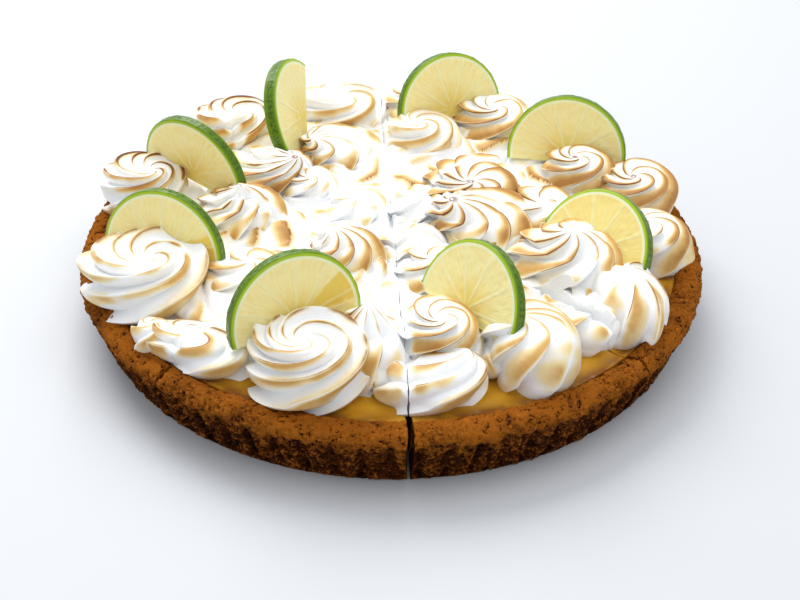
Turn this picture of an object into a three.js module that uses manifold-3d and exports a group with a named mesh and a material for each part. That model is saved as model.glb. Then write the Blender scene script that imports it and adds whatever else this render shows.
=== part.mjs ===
import * as THREE from 'three';
import { mergeVertices } from 'three/addons/utils/BufferGeometryUtils.js';
import Module from 'manifold-3d';

// Key lime pie, cut into eight wedges that still stand together. Millimetres and degrees.
// The origin is the middle of the underside, +Z is up and -Y is the front.

// Driving dimensions.
const RIM_RADIUS = 130;          // outside of the crust at its rim
const FOOT_RADIUS = 122;         // outside of the crust where it stands
const RIM_HEIGHT = 27;
const WALL = 11.5;               // crust thickness just under the rim
const BASE = 6;                  // crust thickness under the filling
const FLUTES = 76;
const FLUTE_DEPTH = 1.8;
const FILLING_TOP = 24;
const GAP = 0.3;                 // clear space between touching pieces
const SLICES = 8;
const FIRST_CUT = 3.3;           // direction of the first cut, from +X
const SLIT = 0.9;                // width of a cut
const FRONT_SLIT = 2.2;          // the cut nearest the front stands open
const FRONT_CUT = 6;             // its number, counted from the first
const MERINGUE_SLIT = 1;         // the soft meringue closes again over the wider slit
const LIME_RADIUS = 26.6;
const LIME_THICKNESS = 5;
const BED_RADIUS = 99;           // spread of the meringue under the rosettes
const BED_TOP = 34;

// A rosette is a dome of meringue with sharp spiral ridges.
const RIDGE_DEPTH = 0.15;        // of the rosette's radius
const SQUARENESS = 0.6;          // 1 is a round dome, less has a flatter top and steeper side
const VALLEY = -0.6;             // of the ridge depth
const FEWEST_RINGS = 6;
const TURN_PER_RING = 50;
const COLUMNS_PER_RIDGE = 2;
const CURL = THREE.MathUtils.degToRad(118);   // the dome's side curls under past 90 degrees

const MERINGUE_FLOOR = FILLING_TOP + GAP;
const RIM_INNER = RIM_RADIUS - WALL;
const FLOOR_INNER = RIM_INNER - 3;
const LATHE_SEGMENTS = FLUTES * 2;   // a ridge and a groove for each flute
const ROUND_SEGMENTS = 72;
const SLICE_ANGLE = 360 / SLICES;

// Rosettes: the middle, the radius and the height of the top, then where the ridges meet
// (pull: sideways from the middle, and up), how many ridges there are, the spiral's turn and the
// first ridge's direction.
// A stroke is a rosette drawn out along one direction.
const ROSETTES = [
  // front and left front
  { at: [-29, -94], radius: 24.5, top: 46, pull: [-5, -4, -1], ridges: 5, turn: 400, start: 20 },
  { at: [-97, -40], radius: 25, top: 46, pull: [2, -4, -2], ridges: 5, turn: 350, start: 150,
    long: 1.12, along: -10 },
  { at: [-70, -84], radius: 11.5, top: 36, pull: [-8, 2, 0], ridges: 4, turn: 260, start: 140,
    long: 2, along: -22 },
  { at: [-90, -75], radius: 8, top: 35, pull: [0, 0, 0], ridges: 4, turn: 180, start: 20 },
  { at: [-7, -88], radius: 16, top: 42, pull: [-2, 7, 8], ridges: 7, turn: 60, start: 60 },
  // right front
  { at: [18, -80], radius: 17, top: 46, pull: [-1, -4, -1], ridges: 5, turn: 350, start: 70 },
  { at: [14, -103], radius: 12.5, top: 37, pull: [14, 6, 3], ridges: 4, turn: 240, start: 200,
    long: 1.75, along: 8 },
  { at: [53, -87], radius: 18.5, top: 46, pull: [-6, 5, 0], ridges: 8, turn: 130, start: 40 },
  { at: [70, -30], radius: 24, top: 46, pull: [0, -5, 8], ridges: 8, turn: 150, start: 100 },
  { at: [92, -57], radius: 15.5, top: 42, pull: [12, -3, 1], ridges: 7, turn: 50, start: 90,
    long: 1.25, along: 100 },
  { at: [74, -63], radius: 17, top: 37, pull: [2, 5, 0], ridges: 5, turn: 100, start: 10 },
  { at: [18, -40], radius: 17, top: 42, pull: [-3, 0, 1], ridges: 5, turn: 160, start: 0 },
  // right back
  { at: [82, 39], radius: 17, top: 47, pull: [-3, -5, 0], ridges: 5, turn: 300, start: 250 },
  { at: [106, 31], radius: 19, top: 43, pull: [-2, -5, 0], ridges: 5, turn: 300, start: 60 },
  { at: [110, -11], radius: 16, top: 43, pull: [-6, 0, 0], ridges: 5, turn: 260, start: 300 },
  { at: [62, 10], radius: 17, top: 42, pull: [0, -4, 0], ridges: 4, turn: 160, start: 30 },
  { at: [47, 89], radius: 19, top: 46, pull: [0, -5, 0], ridges: 5, turn: 300, start: 120 },
  { at: [74, 74], radius: 19, top: 42, pull: [0, 0, 0], ridges: 5, turn: 260, start: 0 },
  { at: [14, 72], radius: 18, top: 46, pull: [-2, -3, 0], ridges: 5, turn: 320, start: 80 },
  { at: [11, 107], radius: 17, top: 42, pull: [0, 0, 0], ridges: 5, turn: 260, start: 0 },
  { at: [32, 28], radius: 23, top: 45, pull: [1, -16, 3], ridges: 8, turn: 130, start: 250 },
  { at: [39, 2], radius: 24, top: 45, pull: [-15, -10, 6], ridges: 9, turn: 120, start: 180 },
  // low swirls in the middle
  { at: [8, -20], radius: 15, top: 41, pull: [0, 0, 1], ridges: 5, turn: 150, start: 50 },
  { at: [10, 10], radius: 15, top: 41, pull: [2, 2, 0], ridges: 5, turn: 150, start: 10 },
  { at: [-14, 8], radius: 16, top: 41, pull: [-3, 3, 0], ridges: 5, turn: 150, start: 100 },
  // left back
  { at: [-25, 100], radius: 20.5, top: 45, pull: [0, -6, 0], ridges: 5, turn: 280, start: 30, long: 1.15 },
  { at: [-74, 82], radius: 20, top: 46, pull: [1, -5, 0], ridges: 5, turn: 320, start: 80 },
  { at: [-93, 58], radius: 15, top: 41, pull: [0, 0, 0], ridges: 5, turn: 260, start: 40 },
  { at: [-22, 62], radius: 20, top: 43, pull: [-14, -10, 3], ridges: 8, turn: 130, start: 200 },
  { at: [-57, 38], radius: 20, top: 45, pull: [15, -10, 5], ridges: 8, turn: 120, start: 330 },
  { at: [-109, 28], radius: 20, top: 46, pull: [6, -7, 0], ridges: 6, turn: 300, start: 60 },
  { at: [-64, 4], radius: 19.5, top: 45, pull: [0, -6, 8], ridges: 9, turn: 120, start: 120 },
  { at: [-36, 26], radius: 13, top: 43, pull: [0, -3, 0], ridges: 5, turn: 200, start: 80 },
  { at: [-17, -28], radius: 16, top: 45, pull: [-8, -1, 5], ridges: 8, turn: 140, start: 90 },
  { at: [-58, -42], radius: 17, top: 40, pull: [2, 3, 0], ridges: 5, turn: 160, start: 200 },
];

// Half wheels of lime: the middle of the wheel, the direction that the cut face looks in,
// how far it leans back, the direction of the arc's middle round the wheel and its thickness.
const LIMES = [
  { at: [77.2, 49.7, 40.0], facing: -104.2, lean: 15.0, arc: 93 },
  { at: [27.5, 89.6, 41.5], facing: -62.9, lean: 17.7, arc: 91 },
  { at: [-41.0, 69.8, 47.7], facing: -16.0, lean: 20.0, arc: 137, thick: 6 },
  { at: [-86.5, 25.5, 41.5], facing: -123.1, lean: -4.8, arc: 80 },
  { at: [-92.4, -29.6, 36.5], facing: -111.1, lean: 11.5, arc: 88 },
  { at: [-34.6, -80.8, 41.5], facing: -61.7, lean: 10.3, arc: 93 },
  { at: [27.5, -72.6, 41.5], facing: -143.8, lean: 24.7, arc: 93 },
  { at: [79.9, -24.6, 36.5], facing: -138.0, lean: 34.5, arc: 96 },
];

const radians = THREE.MathUtils.degToRad;
const wasm = await Module();
wasm.setup();

function toSolid(geometry) {
  const bare = geometry.clone();
  bare.deleteAttribute('normal');
  bare.deleteAttribute('uv');
  const merged = mergeVertices(bare, 1e-4);
  return new wasm.Manifold(new wasm.Mesh({
    numProp: 3,
    vertProperties: Float32Array.from(merged.attributes.position.array),
    triVerts: Uint32Array.from(merged.index.array),
  }));
}

function toGeometry(solid) {
  const { vertProperties, triVerts } = solid.getMesh();
  const geometry = new THREE.BufferGeometry();
  geometry.setAttribute('position', new THREE.BufferAttribute(vertProperties, 3));
  geometry.setIndex(new THREE.BufferAttribute(triVerts, 1));
  geometry.computeVertexNormals();
  return geometry;
}

// A lathe profile given as radius and height, turned round +Z from the underside up.
function lathe(profile, segments) {
  const points = profile.map(([radius, height]) => new THREE.Vector2(radius, height));
  return new THREE.LatheGeometry(points, segments).rotateX(Math.PI / 2);
}

// The whole crust: a fluted drum with a soft rim, hollowed down to its base.
function crustSolid() {
  const drum = lathe([
    [0, 0],
    [FOOT_RADIUS, 0],
    [RIM_RADIUS, RIM_HEIGHT - 5],
    [RIM_RADIUS - 2.2, RIM_HEIGHT - 1.2],
    [RIM_RADIUS - 6, RIM_HEIGHT],
    [0, RIM_HEIGHT],
  ], LATHE_SEGMENTS);
  const position = drum.attributes.position;
  for (let i = 0; i < position.count; i++) {
    const [x, y, z] = [position.getX(i), position.getY(i), position.getZ(i)];
    const reach = Math.hypot(x, y);
    if (reach < FOOT_RADIUS - 1 || z > RIM_HEIGHT - 3) continue;
    const groove = Math.max(Math.cos(FLUTES * Math.atan2(y, x)), 0);
    const scale = 1 - (FLUTE_DEPTH / reach) * groove;
    position.setXY(i, x * scale, y * scale);
  }
  const hollow = lathe([
    [0, BASE],
    [FLOOR_INNER, BASE],
    [RIM_INNER, RIM_HEIGHT - 2.6],
    [RIM_INNER + 1.5, RIM_HEIGHT - 0.8],
    [RIM_INNER + 4, RIM_HEIGHT + 0.5],
    [0, RIM_HEIGHT + 0.5],
  ], ROUND_SEGMENTS);
  return toSolid(drum).subtract(toSolid(hollow));
}

function fillingSolid() {
  return toSolid(lathe([
    [0, BASE + GAP],
    [FLOOR_INNER - GAP, BASE + GAP],
    [RIM_INNER - GAP, FILLING_TOP],
    [0, FILLING_TOP],
  ], ROUND_SEGMENTS));
}

// Soft mounds between the rosettes, as one low dome with a waved surface.
function meringueBed() {
  const rings = [[BED_RADIUS, 0], [BED_RADIUS + 2, 0.35], [BED_RADIUS - 8, 0.9], [BED_RADIUS * 0.45, 1]];
  const bed = lathe([
    [0, MERINGUE_FLOOR],
    ...rings.map(([radius, rise]) => [radius, MERINGUE_FLOOR + rise * (BED_TOP - MERINGUE_FLOOR)]),
    [0, BED_TOP],
  ], ROUND_SEGMENTS / 2);
  return toSolid(bed);
}

// A ridge's height at a column: sharp crests between valleys, no crest quite like the next.
function ridgeHeight(column, start) {
  if (column % COLUMNS_PER_RIDGE > 0) return VALLEY;
  return 1 + 0.35 * Math.sin(start + 2.4 * column / COLUMNS_PER_RIDGE);
}

function rosetteSolid({ at, radius, top, pull, ridges, turn, start, long = 1, along = 0 }) {
  const columns = ridges * COLUMNS_PER_RIDGE;
  const rings = Math.max(Math.ceil(turn / TURN_PER_RING), FEWEST_RINGS);
  const core = radius * (1 - RIDGE_DEPTH);
  const vertices = [];
  const waist = MERINGUE_FLOOR + 0.3 * (top - MERINGUE_FLOOR);
  for (let ring = 0; ring <= rings; ring++) {
    const t = ring / rings;
    const bend = t ** 1.4 * CURL;
    const reach = core * Math.sin(bend) ** SQUARENESS;
    const rise = Math.cos(bend);
    const height = rise > 0
      ? waist + (top - waist) * rise ** SQUARENESS
      : waist + (waist - MERINGUE_FLOOR) * rise / -Math.cos(CURL);
    const depth = RIDGE_DEPTH * radius * Math.min(1, t / 0.35);
    const drift = (1 - t) ** 1.6;
    for (let column = 0; column < columns; column++) {
      const angle = radians(start - turn * t ** 0.9) + (2 * Math.PI * column) / columns;
      const ridge = depth * ridgeHeight(column, start);
      const out = reach + ridge * Math.sin(bend);
      vertices.push(
        long * out * Math.cos(angle) + pull[0] * drift,
        out * Math.sin(angle) + pull[1] * drift,
        height + 0.6 * ridge * Math.max(rise, 0) + pull[2] * Math.max(0, 1 - 3 * t),
      );
    }
  }
  const faces = [];
  const floor = vertices.length / 3;
  vertices.push(0, 0, MERINGUE_FLOOR);
  for (let column = 0; column < columns; column++) {
    const next = (column + 1) % columns;
    faces.push(0, columns + column, columns + next);
    for (let ring = 1; ring < rings; ring++) {
      const [a, b] = [ring * columns + column, ring * columns + next];
      faces.push(a, a + columns, b + columns, a, b + columns, b);
    }
    faces.push(floor, rings * columns + next, rings * columns + column);
  }
  const dome = new THREE.BufferGeometry();
  dome.setAttribute('position', new THREE.Float32BufferAttribute(vertices, 3));
  dome.setIndex(faces);
  dome.rotateZ(radians(along)).translate(at[0], at[1], 0);
  return toSolid(dome);
}

// The space kept clear round the rim, which lobes of meringue lie over.
function rimClearance() {
  const top = RIM_HEIGHT + GAP;
  return toSolid(lathe([
    [RIM_INNER - GAP, 0],
    [RIM_RADIUS * 1.1, 0],
    [RIM_RADIUS * 1.1, top],
    [RIM_INNER + 1.2, top],
    [RIM_INNER - GAP, RIM_HEIGHT - 2],
    [RIM_INNER - GAP, 0],
  ], LATHE_SEGMENTS / 2));
}

// A half wheel with a narrow round-over at its rind. A larger copy cuts its seat.
function limeGeometry({ at, facing, lean, arc, thick = LIME_THICKNESS }, grow = 0) {
  const bevel = 0.8;
  const quarter = Math.PI / 2 + radians(7);
  const outline = new THREE.Shape();
  outline.absarc(0, 0, LIME_RADIUS - bevel + grow, -quarter, quarter, false);
  outline.closePath();
  const wheel = new THREE.ExtrudeGeometry(outline, {
    depth: thick - 2 * bevel + 2 * grow,
    bevelThickness: bevel,
    bevelSize: bevel,
    bevelSegments: 1,
    curveSegments: 9,
  });
  wheel.translate(0, 0, bevel - thick - grow);
  const normal = new THREE.Vector3(
    Math.cos(radians(facing)) * Math.cos(radians(lean)),
    Math.sin(radians(facing)) * Math.cos(radians(lean)),
    Math.sin(radians(lean)),
  );
  const across = new THREE.Vector3(-Math.sin(radians(facing)), Math.cos(radians(facing)), 0);
  const upward = new THREE.Vector3().crossVectors(normal, across);
  const place = new THREE.Matrix4().makeBasis(across, upward, normal).setPosition(...at);
  return wheel.applyMatrix4(new THREE.Matrix4().makeRotationZ(radians(arc))).applyMatrix4(place);
}

// A tall prism over one wedge, its sides moved in from the cut lines by half a slit.
function wedgeSolid(slice, frontSlit) {
  const reach = RIM_RADIUS * 1.3;
  const [from, to] = [slice, slice + 1].map((cut) => radians(FIRST_CUT + cut * SLICE_ANGLE));
  const [near, far] = [slice, slice + 1].map((cut) => (cut === FRONT_CUT ? frontSlit : SLIT) / 2);
  const along = (angle, length, aside) => new THREE.Vector2(
    length * Math.cos(angle) - aside * Math.sin(angle),
    length * Math.sin(angle) + aside * Math.cos(angle),
  );
  const tip = along(from, (far + near * Math.cos(to - from)) / Math.sin(to - from), near);
  const outline = new THREE.Shape([tip, along(from, reach, near), along(to, reach, -far)]);
  const prism = new THREE.ExtrudeGeometry(outline, { depth: 200, bevelEnabled: false });
  return toSolid(prism.translate(0, 0, -50));
}

// The largest closed body, so that no loose scrap is left by the cuts.
function largest(solid) {
  return solid.decompose().sort((a, b) => b.volume() - a.volume())[0];
}

const MATERIALS = {
  crust: new THREE.MeshStandardMaterial({ color: '#9a5a2c', roughness: 0.95, metalness: 0 }),
  filling: new THREE.MeshStandardMaterial({ color: '#d39a3a', roughness: 0.3, metalness: 0 }),
  meringue: new THREE.MeshStandardMaterial({ color: '#f7f2ea', roughness: 0.55, metalness: 0 }),
  lime: new THREE.MeshStandardMaterial({ color: '#b9c658', roughness: 0.4, metalness: 0 }),
};

const group = new THREE.Group();

function addPiece(kind, slice, geometry) {
  const mesh = new THREE.Mesh(geometry, MATERIALS[kind]);
  mesh.name = `${kind}_${slice + 1}`;
  group.add(mesh);
}

const crust = crustSolid();
const filling = fillingSolid();
const clearance = rimClearance();
const rosettes = ROSETTES.map(rosetteSolid);
const seats = LIMES.map((lime) => toSolid(limeGeometry(lime, GAP)));
const piped = rosettes.reduce((whole, rosette) => whole.add(rosette), meringueBed());
const meringue = [clearance, ...seats].reduce((whole, space) => whole.subtract(space), piped);

for (let slice = 0; slice < SLICES; slice++) {
  const wedge = wedgeSolid(slice, FRONT_SLIT);
  const meringueWedge = wedgeSolid(slice, MERINGUE_SLIT);
  addPiece('crust', slice, toGeometry(largest(crust.intersect(wedge))));
  addPiece('filling', slice, toGeometry(largest(filling.intersect(wedge))));
  addPiece('meringue', slice, toGeometry(largest(meringue.intersect(meringueWedge))));
  addPiece('lime', slice, limeGeometry(LIMES[slice]));
}

export default group;
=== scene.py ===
"""Key lime pie: a fluted biscuit crust, lime curd, toasted piped meringue and half wheels of lime."""
import math

import bpy
import numpy as np
from bpy.props import FloatProperty, FloatVectorProperty, IntProperty, PointerProperty
from mathutils import Matrix, Vector


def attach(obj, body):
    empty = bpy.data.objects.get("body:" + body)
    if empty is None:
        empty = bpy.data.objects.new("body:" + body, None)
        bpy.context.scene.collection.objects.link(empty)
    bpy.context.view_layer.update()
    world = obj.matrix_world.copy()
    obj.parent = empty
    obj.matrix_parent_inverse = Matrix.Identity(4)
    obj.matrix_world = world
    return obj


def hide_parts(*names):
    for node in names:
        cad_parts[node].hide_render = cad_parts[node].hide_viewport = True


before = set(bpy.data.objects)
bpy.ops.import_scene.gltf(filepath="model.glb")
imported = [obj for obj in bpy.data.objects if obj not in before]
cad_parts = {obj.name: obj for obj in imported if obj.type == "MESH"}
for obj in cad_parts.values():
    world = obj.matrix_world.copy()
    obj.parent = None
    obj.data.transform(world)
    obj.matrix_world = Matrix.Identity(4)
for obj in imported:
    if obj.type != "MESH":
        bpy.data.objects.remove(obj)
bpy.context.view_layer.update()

bl_info = {
    "name": "Key lime pie",
    "version": (1, 0, 0),
    "blender": (4, 5, 0),
    "location": "3D View > Sidebar > Pie",
    "description": "Bakes, pipes and dresses a key lime pie around its packed solids",
    "category": "Object",
}

MM = 0.001
SLICES = 8
FIRST_CUT = 3.3            # degrees from +X
SLIT = 0.9                 # millimetres, as every length in this file's tables
FRONT_CUT = 6
FRONT_SLIT = 2.2
MERINGUE_SLIT = 0.1        # the soft meringue closes again behind the knife
TORN_CUT = 7               # the one cut where the meringue stays torn open, and how far
TORN_WIDTH = 6.5
TORN_FROM, TORN_TO = 72, 116
KNIFE_REACH = 150.0
LOW_CUT, HIGH_CUT = (-3, 34), (22, 62)    # from where to where a knife's faces are made
FOOT_CLOSES = 0.6          # how much of a slit's width the front cut closes by at its foot
RIM_RADIUS = 130.0
FOOT_RADIUS = 122.0
RIM_HEIGHT = 27.0
RIM_INNER = 118.5
RIM_ROUND = 4.2            # half the height of the rim's rounded top
FLOOR_INNER = 115.5
BASE = 6.0
FLUTES = 76
FILLING_TOP = 24.0
MERINGUE_FLOOR = 24.3
MERINGUE_FOOT = FILLING_TOP - 0.3    # the piping starts a little down in the curd
BED_RADIUS = 99.0
BED_TOP = 34.0
SQUARENESS = 0.6           # of the superellipse that a rosette's outline follows
WAIST = 0.3                # where a rosette is widest, as a share of its height
STEEP = 0.3                # the share of a ridge that is its steep face
ROUND_BACK = 1.8
CURL = math.radians(118)
LIME_RADIUS = 26.6
LIME_THICKNESS = 5.0
LIME_HALF_ARC = 97         # degrees: a wheel is cut a little past its middle


def rose(at, radius, top, pull, ridges, turn, start, heat, **more):
    """One row of the table below."""
    return dict(at=at, radius=radius, top=top, pull=pull, ridges=ridges, turn=turn, start=start,
                heat=heat, **more)


# Rosettes as the solids have them: middle, radius, top, where the ridges meet (pull), the number
# of ridges, how far the spiral turns in degrees, where its first ridge starts, and the heat of the
# flame that each one took. Some are `long` times as long `along` a direction. The ridges fold
# outwards, or inwards where fold is -1.
ROSETTES = [
    # front and left front
    rose((-29, -94), 24.5, 46, (-5, -4, -1), 5, 400, 20, 0.9, fold=-1),
    rose((-97, -40), 25, 46, (2, -4, -2), 5, 350, 150, 0.85, long=1.12, along=-10, fold=-1),
    rose((-70, -84), 11.5, 36, (-8, 2, 0), 4, 260, 140, 0.9, long=2, along=-22, fold=-1),
    rose((-90, -75), 8, 35, (0, 0, 0), 4, 180, 20, 0.7, fold=-1),
    rose((-7, -88), 16, 42, (-2, 7, 8), 7, 60, 60, 1.0),
    # right front
    rose((18, -80), 17, 46, (-1, -4, -1), 5, 350, 70, 1.2),
    rose((14, -103), 12.5, 37, (14, 6, 3), 4, 240, 200, 0.9, long=1.75, along=8, fold=-1),
    rose((53, -87), 18.5, 46, (-6, 5, 0), 8, 130, 40, 0.8),
    rose((70, -30), 24, 46, (0, -5, 8), 8, 150, 100, 1.0),
    rose((92, -57), 15.5, 42, (12, -3, 1), 7, 50, 90, 0.9, long=1.25, along=100, fold=-1),
    rose((74, -63), 17, 37, (2, 5, 0), 5, 100, 10, 0.8),
    rose((18, -40), 17, 42, (-3, 0, 1), 5, 160, 0, 1.0),
    # right back
    rose((82, 39), 17, 47, (-3, -5, 0), 5, 300, 250, 1.6),
    rose((106, 31), 19, 43, (-2, -5, 0), 5, 300, 60, 1.4),
    rose((110, -11), 16, 43, (-6, 0, 0), 5, 260, 300, 1.3),
    rose((62, 10), 17, 42, (0, -4, 0), 4, 160, 30, 1.2),
    rose((47, 89), 19, 46, (0, -5, 0), 5, 300, 120, 1.1),
    rose((74, 74), 19, 42, (0, 0, 0), 5, 260, 0, 0.9),
    rose((14, 72), 18, 46, (-2, -3, 0), 5, 320, 80, 0.75, fold=-1),
    rose((11, 107), 17, 42, (0, 0, 0), 5, 260, 0, 0.9),
    rose((32, 28), 23, 45, (1, -16, 3), 8, 130, 250, 1.3),
    rose((39, 2), 24, 45, (-15, -10, 6), 9, 120, 180, 1.4),
    # low swirls in the middle
    rose((8, -20), 15, 41, (0, 0, 1), 5, 150, 50, 0.6),
    rose((10, 10), 15, 41, (2, 2, 0), 5, 150, 10, 0.6),
    rose((-14, 8), 16, 41, (-3, 3, 0), 5, 150, 100, 0.6),
    # left back
    rose((-25, 100), 20.5, 45, (0, -6, 0), 5, 280, 30, 0.75, long=1.15, fold=-1),
    rose((-74, 82), 20, 46, (1, -5, 0), 5, 320, 80, 1.1, fold=-1),
    rose((-93, 58), 15, 41, (0, 0, 0), 5, 260, 40, 1.0),
    rose((-22, 62), 20, 43, (-14, -10, 3), 8, 130, 200, 1.25),
    rose((-57, 38), 20, 45, (15, -10, 5), 8, 120, 330, 1.7),
    rose((-109, 28), 20, 46, (6, -7, 0), 6, 300, 60, 1.2, fold=-1),
    rose((-64, 4), 19.5, 45, (0, -6, 8), 9, 120, 120, 1.3),
    rose((-36, 26), 13, 43, (0, -3, 0), 5, 200, 80, 1.1),
    rose((-17, -28), 16, 45, (-8, -1, 5), 8, 140, 90, 1.2),
    rose((-58, -42), 17, 40, (2, 3, 0), 5, 160, 200, 0.8),
]

# Half wheels of lime: wheel centre, the way the cut face looks, its lean and the arc's middle.
# Some are a deeper yellow for `deep` degrees from one end, or by `ripe` all over.
LIMES = [
    dict(at=(77.2, 49.7, 40.0), facing=-104.2, lean=15.0, arc=93),
    dict(at=(27.5, 89.6, 41.5), facing=-62.9, lean=17.7, arc=91),
    dict(at=(-41.0, 69.8, 47.7), facing=-16.0, lean=20.0, arc=137, thick=6.0),
    dict(at=(-86.5, 25.5, 41.5), facing=-123.1, lean=-4.8, arc=80),
    dict(at=(-92.4, -29.6, 36.5), facing=-111.1, lean=11.5, arc=88, deep=38),
    dict(at=(-34.6, -80.8, 41.5), facing=-61.7, lean=10.3, arc=93, deep=38),
    dict(at=(27.5, -72.6, 41.5), facing=-143.8, lean=24.7, arc=93),
    dict(at=(79.9, -24.6, 36.5), facing=-138.0, lean=34.5, arc=96, ripe=0.35),
]


# ---- surfaces

def ramp(value, low, high):
    """Smooth step: 0 below low, 1 above high, an S curve between."""
    part = np.clip((value - low) / (high - low), 0, 1)
    return part * part * (3 - 2 * part)


def clouds(points, size, seed):
    """Soft random values from -1 to 1: random numbers on a lattice `size` apart, each point
    taking the S-curve blend of the eight round it."""
    table = np.random.default_rng(seed).uniform(-1, 1, (32, 32, 32))
    cell = points / size
    low = np.floor(cell).astype(np.int64)
    part = cell - low
    part = part * part * (3 - 2 * part)
    total = np.zeros(len(points))
    for corner in np.ndindex(2, 2, 2):
        index = (low + corner) % 32
        weight = np.prod(np.where(corner, part, 1 - part), axis=1)
        total += weight * table[index[:, 0], index[:, 1], index[:, 2]]
    return total


def grid_faces(rows, columns, closed):
    """Quads between the points of a grid stored row by row; closed joins the last column
    to the first."""
    row = np.arange(rows - 1)[:, None] * columns
    here = np.arange(columns if closed else columns - 1)[None, :]
    there = (here + 1) % columns
    return np.stack([row + here, row + columns + here, row + columns + there, row + there],
                    -1).reshape(-1, 4)


def make_mesh(name, points, faces, values=None):
    """A mesh object from points in millimetres, lists of faces and named values per point."""
    mesh = bpy.data.meshes.new(name)
    mesh.from_pydata((points * MM).tolist(), [], [face for part in faces for face in part.tolist()])
    for label, data in (values or {}).items():
        kind = "FLOAT_VECTOR" if data.ndim == 2 else "FLOAT"
        layer = mesh.attributes.new(label, kind, "POINT")
        layer.data.foreach_set("vector" if data.ndim == 2 else "value", data.astype(np.float32).ravel())
    mesh.update()
    made = bpy.data.objects.new(name, mesh)
    bpy.context.scene.collection.objects.link(made)
    return made


def fan(centre, first, count, flip=False):
    """Triangles from one point to a closed ring of points that starts at first."""
    here, there = first + np.arange(count), first + (np.arange(count) + 1) % count
    return np.stack([np.full(count, centre)] + ([there, here] if flip else [here, there]), -1)


def plain(count, torn=0.0):
    """The values that meringue carries, where no flame took."""
    return {"tan": np.zeros(count), "burn": np.zeros(count), "torn": np.full(count, torn)}


def breaking(past, rising, steep):
    """A ridge like a breaking wave: hollow on its steep face, round on its back."""
    return np.where(steep, (1 - past / STEEP) ** 2, 1 - (1 - rising) ** ROUND_BACK)


def vertex_array(made):
    """The mesh's points as an array, in millimetres."""
    points = np.zeros(len(made.data.vertices) * 3)
    made.data.vertices.foreach_get("co", points)
    return points.reshape(-1, 3) / MM


def combine(made, others, how):
    """Joins, cuts or keeps the overlap of closed meshes, and removes the others."""
    bpy.context.view_layer.objects.active = made
    for other in others:
        step = made.modifiers.new("combine", "BOOLEAN")
        step.operation, step.solver, step.object = how, "MANIFOLD", other
        bpy.ops.object.modifier_apply(modifier=step.name)
    for other in others:
        bpy.data.meshes.remove(other.data)
    return made


def wedge(slice_number, slit, front_slit, low, high, ragged, cell, seed, closed=0.5, torn=False):
    """A tall prism over one slice with ragged sides: rings of points at heights low to high,
    each running out along one cut, over the far side and back along the other; each side is
    moved in by half the slit and by a random depth that fades at the tip. The wider front slit
    closes towards the foot. With torn, one side of the torn cut stands further in."""
    steps = int(KNIFE_REACH / cell)
    cuts = np.array([slice_number, slice_number + 1])
    from_angle, to_angle = np.radians(FIRST_CUT + cuts * 360 / SLICES)
    near, far = [(front_slit if cut == FRONT_CUT else slit) / 2 for cut in cuts]
    opening = to_angle - from_angle
    tip = (far + near * math.cos(opening)) / math.sin(opening)
    heights = np.linspace(low, high, int((high - low) / cell) + 2)
    along = np.linspace(0, 1, steps)

    def side(angle, aside, start, inward, turn):
        """One ragged face, along the cut at an angle and some way aside of it."""
        length = start + (KNIFE_REACH - start) * along
        x = length * math.cos(angle) - aside * math.sin(angle)
        y = length * math.sin(angle) + aside * math.cos(angle)
        flat = np.stack([np.tile(x, len(heights)), np.tile(y, len(heights)),
                         np.repeat(heights, steps)], -1)
        depth = ragged * np.maximum(0, closed + 1.4 * clouds(flat, 5 * cell, seed + turn)
                                    + 0.8 * clouds(flat, 2 * cell, seed + turn + 1))
        depth *= np.tile(ramp(length, 3, 16), len(heights))
        if torn and slice_number == TORN_CUT and inward > 0:
            wide = TORN_WIDTH * (1 + 0.35 * clouds(flat, 7, 71)) * ramp(flat[:, 2], 24, 44)
            depth += wide * np.tile(ramp(length, TORN_FROM, TORN_FROM + 10)
                                    * ramp(length, TORN_TO, TORN_TO - 6), len(heights))
        if abs(aside) > slit / 2:
            outer = np.tile(ramp(length, 60, 100), len(heights))
            depth -= FOOT_CLOSES * slit * outer * ramp(flat[:, 2], 18, 4)
        flat[:, 0] -= inward * depth * math.sin(angle)
        flat[:, 1] += inward * depth * math.cos(angle)
        return flat.reshape(len(heights), steps, 3)

    out = side(from_angle, near, tip, 1, 0)
    tip_back = math.hypot(tip, near)
    back = side(to_angle, -far, math.sqrt(max(tip_back ** 2 - far ** 2, 0)), -1, 10)
    ring = np.concatenate([out, back[:, :0:-1]], axis=1)
    rows, columns = ring.shape[:2]
    caps = [np.arange(columns)[None, ::-1], (rows - 1) * columns + np.arange(columns)[None, :]]
    faces = [grid_faces(rows, columns, True)[:, ::-1]] + caps
    return make_mesh("wedge", ring.reshape(-1, 3), faces, plain(rows * columns, 1.0))


def finish_piece(made, name, node, material, sharp):
    """Names a piece, shades it smooth but for its sharp edges, and sets it over its solid."""
    made.name = made.data.name = name
    made.data.materials.clear()
    made.data.materials.append(material)
    made.data.shade_smooth()
    made.data.set_sharp_from_angle(angle=math.radians(sharp))
    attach(made, "root")
    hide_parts(node)


# ---- crust and filling

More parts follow.
